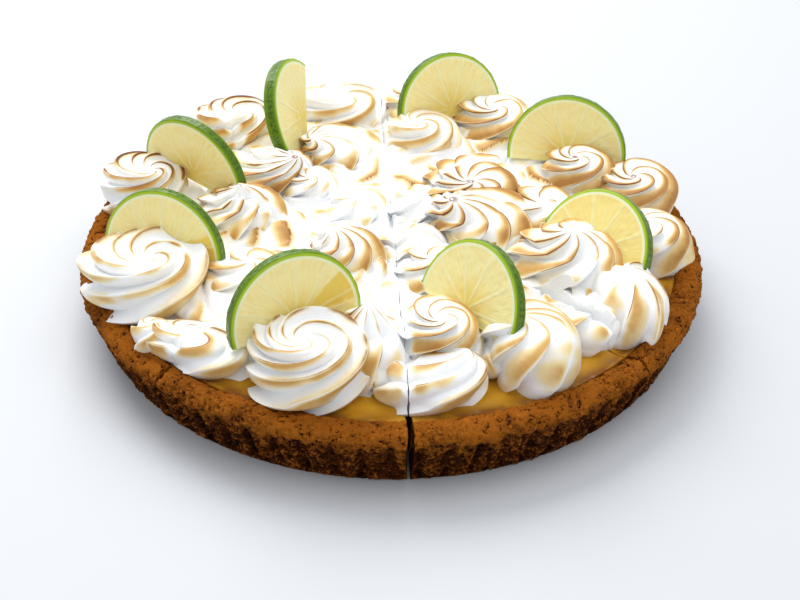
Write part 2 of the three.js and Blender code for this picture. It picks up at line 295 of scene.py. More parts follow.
def turned_sector(name, slice_number, profile, columns, shift):
    """Part of a turned shape: a profile of radius and height points, from the axis and back to
    it, swept a little past one slice; shift gives how far the points move, from their profile
    place, and the values they carry."""
    angles = np.radians(FIRST_CUT + 360 / SLICES * (slice_number + np.linspace(-0.06, 1.06, columns)))
    radius, height = profile[:, 0][:, None], profile[:, 1][:, None]
    edge = np.gradient(profile, axis=0)
    normal = np.stack([edge[:, 1], -edge[:, 0]], -1)
    normal /= np.maximum(np.linalg.norm(normal, axis=1), 1e-9)[:, None]
    cos, sin = np.cos(angles), np.sin(angles)
    flat = np.stack([radius * cos, radius * sin, np.broadcast_to(height, (len(profile), columns))], -1)
    push, values = shift(flat.reshape(-1, 3), np.repeat(profile, columns, axis=0),
                         np.tile(angles, len(profile)))
    push = push.reshape(len(profile), columns)
    push[(profile[:, 0] < 1)] = 0
    values = {label: np.append(data[columns:-columns], [0, 0]) for label, data in values.items()}
    flat[..., 0] += push * normal[:, 0][:, None] * cos
    flat[..., 1] += push * normal[:, 0][:, None] * sin
    flat[..., 2] += push * normal[:, 1][:, None]
    rows = len(profile) - 2
    points = np.vstack([flat[1:-1].reshape(-1, 3), [flat[0, 0], flat[-1, 0]]])
    start, end = rows * columns, rows * columns + 1
    here = np.arange(columns - 1)
    first = np.stack([np.full(columns - 1, start), here, here + 1], -1)[:, ::-1]
    last = np.stack([np.full(columns - 1, end), end - 1 - columns + here,
                     end - columns + here], -1)
    body = np.arange(rows) * columns
    sides = [np.concatenate([[start], body, [end]])[None, :],
             np.concatenate([[end], (body + columns - 1)[::-1], [start]])[None, :]]
    faces = [grid_faces(rows, columns, False)[:, ::-1], first, last] + sides
    return make_mesh(name, points, faces, values)


def along_outline(corners, spacing):
    """Points along straight runs between corners, each run at its own spacing."""
    runs = []
    for (start, stop), gap in zip(zip(corners[:-1], corners[1:]), spacing):
        count = max(1, int(round(math.dist(start, stop) / gap)))
        runs.append(np.linspace(start, stop, count, endpoint=False))
    return np.vstack(runs + [np.array([corners[-1]])])


def rim_outline(fine):
    """The crust's outline: underside, leaning wall, a half-round rim as a formula, and inside."""
    turn = np.linspace(math.radians(-8), math.radians(172), int(math.pi * 6 / fine))
    half = (RIM_RADIUS - RIM_INNER) / 2
    reach = np.sign(np.cos(turn)) * np.abs(np.cos(turn)) ** 0.8
    rise = RIM_ROUND * np.sin(turn)
    rim = np.stack([RIM_INNER + half + half * reach, RIM_HEIGHT - RIM_ROUND + rise], -1)
    under = along_outline([(0, 0), (FOOT_RADIUS - 8, 0), (FOOT_RADIUS - 0.8, 0), (FOOT_RADIUS, 0.8),
                           tuple(rim[0])], [30, 2, fine, fine])
    inside = along_outline([tuple(rim[-1]), (FLOOR_INNER, BASE), (0, BASE)], [2, 30])
    return np.vstack([under[:-1], rim, inside[1:]])


def crumb_shift(settings):
    """How far the biscuit's surface stands out: flutes, slow waves, grains and pits. Shade is
    below 0 down in grooves and pits, where it is painted shade, and above 0 on the grains, which are
    paler crumbs."""
    def shift(points, profile, angles):
        """Flutes belong to the wall, and chips to the rim."""
        outside = ramp(profile[:, 0], FOOT_RADIUS - 4, FOOT_RADIUS) * (profile[:, 1] < RIM_HEIGHT - 1)
        wall = outside * (1 - ramp(profile[:, 1], RIM_HEIGHT - 9, RIM_HEIGHT - 3))
        wobble = 0.5 * clouds(points, 14, 3)
        groove = np.maximum(np.cos(FLUTES * angles + wobble), 0) ** 1.4
        push = -settings.flute_depth / MM * groove * wall * (1 + 0.5 * clouds(points, 9, 10))
        push += 0.6 * clouds(points, 22, 4)
        grain = 0.30 * clouds(points, 2.8, 5) + 0.36 * clouds(points, 1.5, 6)
        grain += 0.26 * clouds(points, 0.9, 7)
        pits = 0.8 * ramp(clouds(points, 1.7, 8), 0.25, 0.7) + ramp(clouds(points, 1.0, 9), 0.15, 0.6)
        pits *= 0.3 + 0.7 * wall
        shown = ramp(profile[:, 1], 0.2, 1.2)
        near_rim = ramp(profile[:, 1], RIM_HEIGHT - 5, RIM_HEIGHT - 2)
        chip = ramp(clouds(points, 6, 11), 0.35, 0.8) * near_rim
        crumb = grain - 0.6 * pits
        # shade: painted shade down in the flutes' grooves and in pits, paler crumbs on the grains
        shade = 1.2 * crumb - 0.3 * groove * wall + 0.24
        push = push * shown + settings.crumb / MM * crumb * (0.25 + 0.75 * shown)
        return push - 0.7 * chip, {"shade": shade}
    return shift


def build_crust(slice_number, settings, material):
    """One slice of crust, ragged where the knife went through."""
    made = turned_sector("crust", slice_number, rim_outline(0.45), 260, crumb_shift(settings))
    cutter = wedge(slice_number, SLIT, FRONT_SLIT, *LOW_CUT, 0.7, 0.9, 40 + slice_number, closed=0.2)
    combine(made, [cutter], "INTERSECT")
    finish_piece(made, f"biscuit_crust_{slice_number + 1}", f"crust_{slice_number + 1}",
                 material, 70)


def curd_shift(points, profile, angles):
    """The curd's skin: slow waves, a few dimples, and a lift where it meets the crust, with a share of
    painted shade that rises towards the crust.
    """
    on_top = ramp(profile[:, 1], FILLING_TOP - 1, FILLING_TOP - 0.2)
    lift = 0.7 * ramp(profile[:, 0], RIM_INNER - 4.5, RIM_INNER - 0.4) ** 2
    waves = 0.22 * clouds(points, 9, 21) + 0.1 * clouds(points, 3.5, 22)
    dimples = -0.35 * ramp(clouds(points, 2.4, 23), 0.6, 0.95)
    # painted shade: a share that rises towards the crust, where the curd meets the wall
    edge_shade = ramp(profile[:, 0], RIM_INNER - 9, RIM_INNER - 0.5)
    return on_top * (lift + waves + dimples), {"edge_shade": edge_shade}


def build_filling(slice_number, material):
    """One slice of set lime curd."""
    profile = along_outline([(0, BASE), (FLOOR_INNER - 0.1, BASE), (RIM_INNER - 0.1, FILLING_TOP - 0.5),
                             (RIM_INNER - 0.4, FILLING_TOP), (96, FILLING_TOP), (0, FILLING_TOP)],
                            [40, 3, 0.5, 0.6, 24])
    made = turned_sector("filling", slice_number, profile, 150, curd_shift)
    cutter = wedge(slice_number, SLIT, FRONT_SLIT, *LOW_CUT, 0.15, 1.5, 60 + slice_number)
    combine(made, [cutter], "INTERSECT")
    finish_piece(made, f"lime_curd_{slice_number + 1}", f"filling_{slice_number + 1}",
                 material, 50)


# ---- meringue

def rosette(number, spec, settings):
    """One piped rosette: a superellipse dome (reach sin^0.6, height cos^0.6 of the bend angle)
    whose columns follow a spiral, with ridges like breaking waves: a hollow face rising
    steeply to a sharp crest, and a round back falling away from it."""
    radius, top, turn, start = spec["radius"], spec["top"], spec["turn"], spec["start"]
    at, pull, ridges, rows = spec["at"], spec["pull"], spec["ridges"], settings.rows
    fold = spec.get("fold", 1)
    per_ridge = int(settings.ridge_points * min(2, max(1, radius / ridges / 2.4)))
    floor = MERINGUE_FOOT
    even = np.linspace(0, 1, per_ridge, endpoint=False)
    even = even - 0.85 * np.sin(2 * np.pi * even) / (2 * np.pi)
    place = np.arange(ridges * per_ridge)
    ridge_number = place // per_ridge
    phase = even[place % per_ridge]
    past = phase if fold > 0 else (1 - phase) % 1.0
    rising = np.clip((past - STEEP) / (1 - STEEP), 0, 1)
    steep = (past < STEEP) & ((fold > 0) | (phase > 0))
    rising = np.where((phase == 0) & (fold < 0), 1.0, rising)
    wave = breaking(past, rising, steep)
    height_of = 1 + 0.35 * np.sin(start + 2.4 * np.arange(ridges))
    near_this = steep if fold > 0 else ~steep
    strength = np.where(near_this, height_of[ridge_number], height_of[(ridge_number + 1) % ridges])

    t = np.linspace(0, 1, rows + 1)[1:, None]
    bend = t ** 1.4 * CURL
    rise = np.cos(bend)
    waist = floor + WAIST * (top - floor)
    height = np.where(rise > 0, waist + (top - waist) * np.abs(rise) ** SQUARENESS,
                      waist + (waist - floor) * rise / -math.cos(CURL))
    reach = radius * (1 - settings.ridge_depth) * np.sin(bend) ** SQUARENESS
    depth = settings.ridge_depth * radius * np.minimum(1, t / 0.35)
    ridge = depth * (wave * (strength + 0.6) - 0.6)[None, :]
    spin = np.radians(start - turn * t ** 0.9) + 2 * np.pi * ((ridge_number + phase) / ridges)[None, :]
    spin = spin + fold * settings.lean * ridge / radius
    out = reach + ridge * np.sin(bend)
    drift = (1 - t) ** 1.6
    x = spec.get("long", 1) * out * np.cos(spin) + pull[0] * drift
    y = out * np.sin(spin) + pull[1] * drift
    z = height + 0.6 * ridge * np.maximum(rise, 0) + pull[2] * np.maximum(0, 1 - 3 * t)
    along = math.radians(spec.get("along", 0))
    cos, sin = math.cos(along), math.sin(along)
    points = np.stack([at[0] + x * cos - y * sin, at[1] + x * sin + y * cos, z], -1)
    points = points.reshape(-1, 3)
    warp = np.stack([clouds(points, 16, 90 + axis) for axis in range(3)], -1)
    points += warp * [0.9, 0.9, 0.6] * ramp(points[:, 2:], floor + 1, floor + 8)

    tan, burn = toast(points, spec["heat"], t, np.where(steep, past / STEEP, 0),
                      np.where(steep, 0, 1 - rising), steep)
    n = ridges * per_ridge
    tip = [at[0] + pull[0] * cos - pull[1] * sin, at[1] + pull[0] * sin + pull[1] * cos, top + pull[2]]
    points = np.vstack([points, [tip, [*at, floor]]])
    caps = [fan(rows * n, 0, n), fan(rows * n + 1, (rows - 1) * n, n, flip=True)]
    values = plain(len(points))
    values["tan"][:-2], values["burn"][:-2] = tan, burn
    return make_mesh(f"rosette_{number}", points, [grid_faces(rows, n, True)] + caps, values)


def toast(points, heat, t, down_face, down_back, steep):
    """Where the flame took: a band of tan on the round back under each crest, narrow near the top
    and wide on the outer folds, a little on the steep face, and a thin dark line along the crest,
    all broken up by slow random patches and fading towards the foot."""
    shape = (len(t), len(down_back))
    patch = clouds(points, 13, 101).reshape(shape) + 0.5 * clouds(points, 5, 102).reshape(shape)
    outer = ramp(t, 0.3, 0.6)
    shown = ramp(t, 0.02, 0.14) * (1 - 0.8 * ramp(t, 0.7, 0.97))
    wide = np.maximum(0.17 + 0.27 * outer + 0.17 * patch, 0.06)
    offset = 0.04 + 0.16 * outer
    above = np.where(down_back[None, :] < offset, 0.12, wide)
    back = np.exp(-((down_back[None, :] - offset) / above) ** 2)
    tan = np.where(steep[None, :], 0.5 * np.exp(-down_face[None, :] / 0.22), back)
    tan = 1.15 * heat * tan * shown * ramp(patch, -1.0, 0.3)
    line = np.exp(-(down_back / 0.05) ** 2) * np.exp(-(down_face / 0.14) ** 2)
    hot = min(1.5, max(0.35, (heat - 0.62) / 0.4))
    burn = hot * line[None, :] * ramp(t, 0.01, 0.08) * (1 - ramp(t, 0.5, 0.85)) * ramp(patch, -1.0, 0.15)
    tip = 0.75 * np.exp(-(t / 0.04) ** 2) * (heat > 1.25)
    return tan.ravel(), np.maximum(burn, tip).ravel()


def skirt_shift(points, profile, angles):
    """The outer folds between the rosettes: each point belongs to its nearest rosette, whose
    spiral runs on outwards with the same breaking waves, lower and broken up, fading where two
    rosettes meet. Backs of the folds are tan in patches."""
    at, size, ridges, turn, start, heat = [
        np.array([spec[key] for spec in ROSETTES], float)
        for key in ("at", "radius", "ridges", "turn", "start", "heat")]
    turn, start = np.radians(turn), np.radians(start)
    apart = points[:, None, :2] - at[None]
    reach = np.linalg.norm(apart, axis=2) / size
    order = np.argsort(reach, axis=1)
    here = np.arange(len(points))
    near, gap = order[:, 0], reach[here, order[:, 1]] - reach[here, order[:, 0]]
    away = reach[here, near]
    angle = np.arctan2(apart[here, near, 1], apart[here, near, 0])
    spiral = angle - start[near] + turn[near] * (0.85 + 0.35 * (away - 1))
    past = (ridges[near] * spiral / (2 * np.pi) + 0.3 * clouds(points, 10, 113)) % 1.0
    rising = np.clip((past - STEEP) / (1 - STEEP), 0, 1)
    wave = breaking(past, rising, past < STEEP)
    lifted = ramp(profile[:, 1], MERINGUE_FLOOR + 1, MERINGUE_FLOOR + 4)
    held = ramp(gap, 0.0, 0.14) * lifted
    push = 3.0 * (1 - ramp(away, 0.95, 1.5)) * held + 2.3 * (wave - 0.4) * held
    push += lifted * (1.0 * clouds(points, 9, 111) + 0.45 * clouds(points, 3.5, 112))
    patch = clouds(points, 11, 114)
    wide = np.maximum(0.28 + 0.15 * patch, 0.08)
    tan = np.where(past < STEEP, 0.4 * np.exp(-past / 0.08), np.exp(-((1 - rising) / wide) ** 2))
    crest = np.exp(-((1 - rising) / 0.06) ** 2) * (past > STEEP)
    shown = held * heat[near] * ramp(patch, -0.7, 0.3)
    return push, {"tan": 1.1 * tan * shown, "burn": 0.5 * crest * shown, "torn": np.zeros(len(points))}


def meringue_bed(slice_number):
    """The outer folds of the rosettes over a low dome that fills the space under them."""
    profile = along_outline([(0, MERINGUE_FOOT), (BED_RADIUS - 3, MERINGUE_FOOT),
                             (BED_RADIUS + 2, MERINGUE_FLOOR + 2), (BED_RADIUS, MERINGUE_FLOOR + 6),
                             (BED_RADIUS - 8, BED_TOP - 1), (BED_RADIUS * 0.45, BED_TOP), (0, BED_TOP)],
                            [30, 1, 1, 1, 0.8, 0.8])
    return turned_sector("bed", slice_number, profile, 130, skirt_shift)


def in_slice(spec, slice_number):
    """Whether a rosette reaches into a slice."""
    middle = math.radians(FIRST_CUT + 360 / SLICES * (slice_number + 0.5))
    half = math.pi / SLICES
    x = spec["at"][0] * math.cos(middle) + spec["at"][1] * math.sin(middle)
    y = abs(-spec["at"][0] * math.sin(middle) + spec["at"][1] * math.cos(middle))
    outside = y * math.cos(half) - x * math.sin(half)
    size = spec["radius"] * spec.get("long", 1) * 1.25
    return outside < size and x > -size


def lime_axes(spec):
    """The wheel's own axes in the pie: across the cut face, up it, and out of it."""
    facing, lean = math.radians(spec["facing"]), math.radians(spec["lean"])
    out = Vector((math.cos(facing) * math.cos(lean), math.sin(facing) * math.cos(lean), math.sin(lean)))
    across = Vector((-math.sin(facing), math.cos(facing), 0))
    return np.array([across, out.cross(across), out])


def lime_seat(spec):
    """The room that a half wheel takes in the meringue, as a plain half drum."""
    quarter = math.radians(LIME_HALF_ARC)
    turn = math.radians(spec["arc"]) + np.linspace(-quarter, quarter, 60)
    ring = (LIME_RADIUS - 0.1) * np.stack([np.cos(turn), np.sin(turn)], -1)
    n = len(turn)
    wheel = np.vstack([np.column_stack([ring, np.full(n, 0.0)]),
                       np.column_stack([ring, np.full(n, -spec.get("thick", LIME_THICKNESS))])])
    points = wheel @ lime_axes(spec) + spec["at"]
    faces = [np.arange(n)[None, :], (n + np.arange(n))[None, ::-1], grid_faces(2, n, True)]
    return make_mesh("seat", points, faces, plain(2 * n))


def rim_room():
    """The room above the rim that lobes of meringue keep clear of, as a turned ring."""
    profile = np.array([(RIM_INNER - 0.2, 10), (RIM_RADIUS * 1.1, 10), (RIM_RADIUS * 1.1, RIM_HEIGHT),
                        (RIM_INNER + 2, RIM_HEIGHT - 0.4), (RIM_INNER - 0.2, RIM_HEIGHT - 2.6)])
    turn = np.linspace(0, 2 * np.pi, 240, endpoint=False)
    points = np.stack([profile[:, 0][:, None] * np.cos(turn), profile[:, 0][:, None] * np.sin(turn),
                       np.broadcast_to(profile[:, 1][:, None], (len(profile), len(turn)))], -1)
    rows = np.concatenate([points, points[:1]])
    faces = grid_faces(len(rows), len(turn), True)
    faces = faces % (len(profile) * len(turn))
    return make_mesh("rim_room", points.reshape(-1, 3), [faces[:, ::-1]], plain(points.size // 3))


def build_meringue(slice_number, settings, material):
    """One slice of meringue: its rosettes joined, cut by the knife and by the lime's seat."""
    chosen = [(i, spec) for i, spec in enumerate(ROSETTES) if in_slice(spec, slice_number)]
    made = meringue_bed(slice_number)
    combine(made, [rosette(i, spec, settings) for i, spec in chosen], "UNION")
    cutter = wedge(slice_number, MERINGUE_SLIT, MERINGUE_SLIT, *HIGH_CUT, settings.torn / MM,
                   1.1, 80 + slice_number, closed=-0.1, torn=True)
    combine(made, [cutter], "INTERSECT")
    combine(made, [lime_seat(spec) for spec in LIMES] + [rim_room()], "DIFFERENCE")
    points = vertex_array(made)
    cuts = np.radians(FIRST_CUT + 360 / SLICES * np.array([slice_number, slice_number + 1]))
    side = np.min([np.abs(points[:, 1] * math.cos(cut) - points[:, 0] * math.sin(cut)) for cut in cuts],
                  axis=0)
    kept = ramp(side + 1.5 * clouds(points, 5, 121), 1.0, 4)
    dip = settings.dip / MM * (1 - ramp(side, 0, 3.2)) * (1 + 0.5 * clouds(points, 4, 122))
    points[:, 2] -= dip * ramp(points[:, 2], MERINGUE_FLOOR + 2, MERINGUE_FLOOR + 12)
    made.data.vertices.foreach_set("co", (points * MM).ravel())
    for label in ("tan", "burn"):
        layer = made.data.attributes[label]
        value = np.zeros(len(points), np.float32)
        layer.data.foreach_get("value", value)
        layer.data.foreach_set("value", (value * kept).astype(np.float32))
    finish_piece(made, f"toasted_meringue_{slice_number + 1}", f"meringue_{slice_number + 1}",
                 material, 60)


# ---- limes

def build_lime(slice_number, settings, material):
    """A half wheel of lime as rings round the wheel's centre: out over the front face, round the
    rind and in over the back. A ring's reach is the wheel's radius, or the straight cut's
    distance where that is nearer. The pulp sinks between its membranes."""
    spec = LIMES[slice_number]
    thick = spec.get("thick", LIME_THICKNESS)
    past_middle = math.sin(math.radians(LIME_HALF_ARC - 90))
    cut = LIME_RADIUS * past_middle
    arc = np.linspace(-LIME_HALF_ARC, LIME_HALF_ARC, 190)
    across = np.linspace(LIME_RADIUS * 0.98, -LIME_RADIUS * 0.98, 60)
    chord = np.degrees(np.arctan2(across, -cut)) % 360
    turn = np.radians(np.concatenate([arc, chord]))
    limit = np.minimum(LIME_RADIUS, cut / np.maximum(-np.cos(turn), 1e-6))
    limit = np.where(np.cos(turn) > -past_middle - 1e-6, LIME_RADIUS, limit)
    share = np.concatenate([[0.02], np.linspace(0.06, 0.955, 34)])
    corner = np.radians(np.linspace(0, 90, 7))[1:]
    round_over = 1.1
    bevel, fall = 0.957 + 0.043 * np.sin(corner), round_over * (np.cos(corner) - 1)
    levels = np.linspace(-round_over - 0.3, -thick + round_over + 0.3, 7)
    reach = np.concatenate([share, bevel, np.ones(len(levels)), bevel[::-1], share[::-1]])
    depth = np.concatenate([np.zeros(len(share)), fall, levels, -thick - fall[::-1],
                            np.full(len(share), -thick)])
    radial = reach[:, None] * limit[None, :]
    angle = turn[None, :] + math.radians(spec["arc"])
    p, q = radial * np.cos(angle), radial * np.sin(angle)
    n = np.broadcast_to(depth[:, None], p.shape).copy()
    side = np.where(np.arange(len(depth)) < len(depth) / 2, 1.0, -1.0)[:, None]
    face = (1 - ramp(radial, LIME_RADIUS * 0.86, LIME_RADIUS * 0.9)) * (
        np.abs(n + thick / 2) > thick / 2 - 0.01)
    segment = 5 * (angle + settings.twist * slice_number) / np.pi
    membrane = np.abs(segment - np.round(segment)) * radial * math.pi / 5
    wheel = np.stack([p, q, n], -1).reshape(-1, 3)
    vesicle = clouds(wheel + 50 * slice_number, 1.9, 130).reshape(p.shape)
    sink = 0.14 * ramp(membrane, 0.1, 0.9) + 0.16 * vesicle
    n -= side * face * sink
    from_end = (turn[None, :] + math.pi / 2) / math.pi * 180 + 4 * vesicle
    deep_to = spec.get("deep", -10)
    end_deep = 0.85 * (ramp(from_end, 2, 6) * ramp(from_end, deep_to, deep_to - 4))
    core_deep = 0.65 * ramp(radial / LIME_RADIUS, 0.62, 0.12)
    deep = np.maximum(np.maximum(end_deep, core_deep), spec.get("ripe", 0)).ravel()
    seam = (ramp(membrane, 0.75, 0.15) * ramp(radial / LIME_RADIUS, 0.05, 0.2)).ravel()
    bumps = clouds(wheel + 20 * slice_number, 1.5, 131).reshape(p.shape)
    rind = ramp(radial, LIME_RADIUS * 0.975, LIME_RADIUS * 0.999)
    swell = 1 + rind * 0.16 * bumps / LIME_RADIUS
    p, q = p * swell, q * swell
    wheel = np.stack([p, q, n], -1).reshape(-1, 3)
    rows, columns = p.shape
    wheel = np.vstack([wheel, [[0, 0, 0], [0, 0, -thick]]])
    points = wheel @ lime_axes(spec) + spec["at"]
    caps = [fan(rows * columns, 0, columns),
            fan(rows * columns + 1, (rows - 1) * columns, columns, flip=True)]
    made = make_mesh("lime", points, [grid_faces(rows, columns, True)] + caps,
                     {"wheel": wheel / LIME_RADIUS, "deep": np.append(deep, [0.6, 0.6]),
                      "seam": np.append(seam, [0, 0])})
    finish_piece(made, f"lime_wheel_{slice_number + 1}", f"lime_{slice_number + 1}", material, 50)


# ---- materials

class Shader:
    """A material's tree under construction: short calls that add and join nodes."""

    def __init__(self, tree):
        self.tree = tree

    def add(self, kind, inputs=None, **settings):
        node = self.tree.nodes.new(kind)
        for key, value in settings.items():
            setattr(node, key, value)
        for key, value in (inputs or {}).items():
            socket = node.inputs[key]
            if isinstance(value, bpy.types.NodeSocket):
                self.tree.links.new(value, socket)
            else:
                socket.default_value = value
        return node

    def math(self, operation, first, second=0.5):
        return self.add("ShaderNodeMath", {0: first, 1: second}, operation=operation).outputs[0]

    def times(self, first, second):
        return self.math("MULTIPLY", first, second)

    def mix(self, share, first, second):
        node = self.add("ShaderNodeMix", data_type="RGBA")
        for index, value in ((0, share), (6, first), (7, second)):
            if isinstance(value, bpy.types.NodeSocket):
                self.tree.links.new(value, node.inputs[index])
            else:
                node.inputs[index].default_value = (*value, 1) if index else value
        return node.outputs[2]

    def noise(self, vector, scale, detail=2.0, rough=0.5):
        inputs = {"Vector": vector, "Scale": scale, "Detail": detail, "Roughness": rough}
        return self.add("ShaderNodeTexNoise", inputs).outputs["Fac"]

    def between(self, value, low, high):
        inputs = {"Value": value, "From Min": low, "From Max": high}
        return self.add("ShaderNodeMapRange", inputs, interpolation_type="SMOOTHSTEP").outputs[0]

    def attribute(self, name):
        return self.add("ShaderNodeAttribute", attribute_name=name).outputs["Fac"]

    def places(self):
        return self.add("ShaderNodeTexCoord").outputs["Object"]


def new_material(name, constants):
    """A material with its Principled shader, the constants on its sockets, and its output."""
    material = bpy.data.materials.new(name)
    material.use_nodes = True
    material.node_tree.nodes.clear()
    shader = Shader(material.node_tree)
    skin = shader.add("ShaderNodeBsdfPrincipled")
    output = shader.add("ShaderNodeOutputMaterial")
    material.node_tree.links.new(skin.outputs[0], output.inputs["Surface"])
    for socket, value in constants.items():
        skin.inputs[socket].default_value = value
    return material, shader, skin


def soft(weight, radius, scale):
    """Sockets for light that goes a little way in."""
    return {"Subsurface Weight": weight, "Subsurface Radius": radius, "Subsurface Scale": scale}


def sunk(shader, skin, height, strength, distance):
    """Joins a height to the skin through a Bump node."""
    bump = shader.add("ShaderNodeBump", {"Height": height, "Strength": strength, "Distance": distance})
    shader.tree.links.new(bump.outputs[0], skin.inputs["Normal"])


def link(shader, value, skin, socket):
    """Joins a colour to one of the skin's sockets."""
    shader.tree.links.new(value, skin.inputs[socket])


def crust_material(settings):
    """Baked biscuit: the rim colour on the rim and a much darker colour towards the foot as painted
    shade, pale grains where the surface stands out, and dark pits and grooves as painted shade where it
    lies back."""
    material, shader, skin = new_material("baked biscuit", {"Roughness": 0.9, "Specular IOR Level": 0.06})
    place = shader.places()
    broad = shader.noise(place, 60, 3)
    grain = shader.noise(place, 1000, 4, 0.75)
    height = shader.add("ShaderNodeSeparateXYZ", {0: place}).outputs[2]
    # painted shade: the wall goes from the rim colour down to the much darker side colour towards the
    # foot
    unshaded_share = shader.between(height, 0.015, 0.0268)
    colour = shader.mix(unshaded_share, settings.side, settings.rim)
    colour = shader.mix(shader.times(shader.between(broad, 0.4, 0.75), 0.7), colour, settings.dark)
    speckle = shader.times(shader.between(grain, 0.34, 0.66), 1.1)
    shade = shader.math("ADD", shader.attribute("shade"), speckle)
    colour = shader.mix(shader.times(shader.between(shade, 0.75, 1.25), 0.75), colour,
                        settings.crumb_colour)
    # painted shade: the pit colour darkens pits and grooves
    colour = shader.mix(shader.between(shade, 0.55, -0.1), colour, settings.pit_shade)
    link(shader, colour, skin, "Base Color")
    sunk(shader, skin, speckle, 1.0, 0.0006)
    return material


def curd_material(settings):
    """Set lime curd with a soft gloss, and a darker amber towards the crust as painted shade."""
    material, shader, skin = new_material("lime curd", {
        "Roughness": 0.2, "Specular IOR Level": 0.25, **soft(0.25, (1.0, 0.6, 0.2), 0.004)})
    place = shader.places()
    cloud = shader.noise(place, 90, 3)
    colour = shader.mix(shader.between(cloud, 0.3, 0.7), settings.curd, settings.curd_pale)
    # painted shade: darker amber near the crust
    edge = shader.times(shader.attribute("edge_shade"), shader.between(cloud, 0.2, 0.6))
    colour = shader.mix(edge, colour, settings.curd_edge_shade)
    link(shader, colour, skin, "Base Color")
    sunk(shader, skin, shader.noise(place, 350, 2), 0.15, 0.0006)
    return material


def meringue_material(settings):
    """Silky egg white, tan where the flame licked the backs of the ridges and dark at crests."""
    material, shader, skin = new_material("toasted meringue", {
        "Roughness": 0.5, **soft(0.15, (1.0, 0.9, 0.8), 0.0015)})
    place = shader.places()
    fine = shader.noise(place, 260, 4, 0.6)
    speck = shader.math("ADD", shader.times(fine, 0.7), 0.65)
    tan = shader.times(shader.attribute("tan"), speck)
    burn = shader.times(shader.attribute("burn"), speck)
    colour = shader.mix(shader.between(tan, 0.0, 0.35), settings.white, settings.cream)
    colour = shader.mix(shader.between(tan, 0.25, 0.85), colour, settings.tan)
    colour = shader.mix(shader.between(tan, 0.75, 1.5), colour, settings.toasted)
    colour = shader.mix(shader.between(burn, 0.1, 0.75), colour, settings.burnt)
    colour = shader.mix(shader.between(burn, 0.8, 1.5), colour, settings.black)
    link(shader, colour, skin, "Base Color")
    torn = shader.times(shader.attribute("torn"), shader.noise(place, 900, 3, 0.7))
    bubbles = shader.times(shader.noise(place, 320, 3, 0.55), 0.45)
    sunk(shader, skin, shader.math("ADD", torn, bubbles), 0.5, 0.0008)
    return material


def lime_material(settings):
    """Lime: juicy pulp in segments, a pale pith ring and a waxy green rind."""
    material, shader, skin = new_material("cut lime", {
        "Roughness": 0.3, "Specular IOR Level": 0.3, **soft(0.5, (1.0, 0.9, 0.4), 0.004)})
    wheel = shader.add("ShaderNodeAttribute", attribute_name="wheel").outputs["Vector"]
    part = shader.add("ShaderNodeSeparateXYZ", {0: wheel})
    flat = shader.add("ShaderNodeCombineXYZ", {0: part.outputs[0], 1: part.outputs[1]}).outputs[0]
    radius = shader.add("ShaderNodeVectorMath", {0: flat}, operation="LENGTH").outputs["Value"]
    angle = shader.math("ARCTAN2", part.outputs[1], part.outputs[0])
    streaks = shader.add("ShaderNodeCombineXYZ", {
        0: shader.times(angle, 9.0), 1: shader.times(radius, 2.2)}).outputs[0]
    vesicles = shader.noise(streaks, 2.4, 3, 0.55)
    pulp = shader.mix(shader.between(vesicles, 0.2, 0.8), settings.pulp, settings.pulp_pale)
    pulp = shader.mix(shader.attribute("deep"), pulp, settings.pulp_deep)
    seam = shader.times(shader.attribute("seam"), 0.42)
    pulp = shader.mix(seam, pulp, settings.pith)
    pith = shader.mix(shader.between(radius, 0.885, 0.915), pulp, settings.pith)
    edge = shader.mix(shader.between(radius, 0.93, 0.955), pith, settings.rind_edge)
    edge = shader.mix(shader.between(radius, 0.965, 0.995), edge, settings.rind_light)
    depth = shader.math("ABSOLUTE", shader.math("ADD", part.outputs[2], LIME_THICKNESS / LIME_RADIUS / 2))
    outside = shader.between(depth, 0.075, 0.03)
    outside = shader.times(outside, shader.between(radius, 0.96, 0.99))
    mottled = shader.mix(shader.between(shader.noise(wheel, 20, 3), 0.3, 0.7),
                         settings.rind, settings.rind_light)
    link(shader, shader.mix(outside, edge, mottled), skin, "Base Color")
    sunk(shader, skin, vesicles, 0.25, 0.0006)
    return material


# ---- settings

def colour_property(name, description, default):
    return FloatVectorProperty(name=name, description=description, subtype="COLOR", size=3, min=0, max=1,
                               default=default)


class PieCrustSettings(bpy.types.PropertyGroup):
    """Sizes and colours of the biscuit crust."""
    flute_depth: FloatProperty(name="Flute depth", description="Depth of the wall's grooves",
                               unit="LENGTH", default=0.0020)
    crumb: FloatProperty(name="Crumb", description="Height of the grains of biscuit",
                         unit="LENGTH", default=0.0013)
    rim: colour_property("Rim", "Biscuit at the rim", (0.56, 0.165, 0.013))
    # painted shade: the side colour is the dark colour the wall takes towards its foot
    side: colour_property("Side", "Biscuit near the foot", (0.085, 0.0165, 0.0011))
    dark: colour_property("Dark", "Darker baked patches", (0.070, 0.017, 0.002))
    crumb_colour: colour_property("Crumbs", "Pale crumbs", (0.50, 0.16, 0.015))
    # painted shade: the colour down in pits and grooves
    pit_shade: colour_property("Pit", "Down in pits and grooves", (0.018, 0.005, 0.001))


class PieFillingSettings(bpy.types.PropertyGroup):
    """Colours of the curd."""
    curd: colour_property("Curd", "Main colour of the curd", (0.56, 0.265, 0.012))
    curd_pale: colour_property("Pale curd", "Paler clouds in the curd", (0.66, 0.35, 0.025))
    # painted shade: the darker amber the curd takes towards the crust
    curd_edge_shade: colour_property("Curd edge", "Curd baked against the crust", (0.20, 0.065, 0.006))


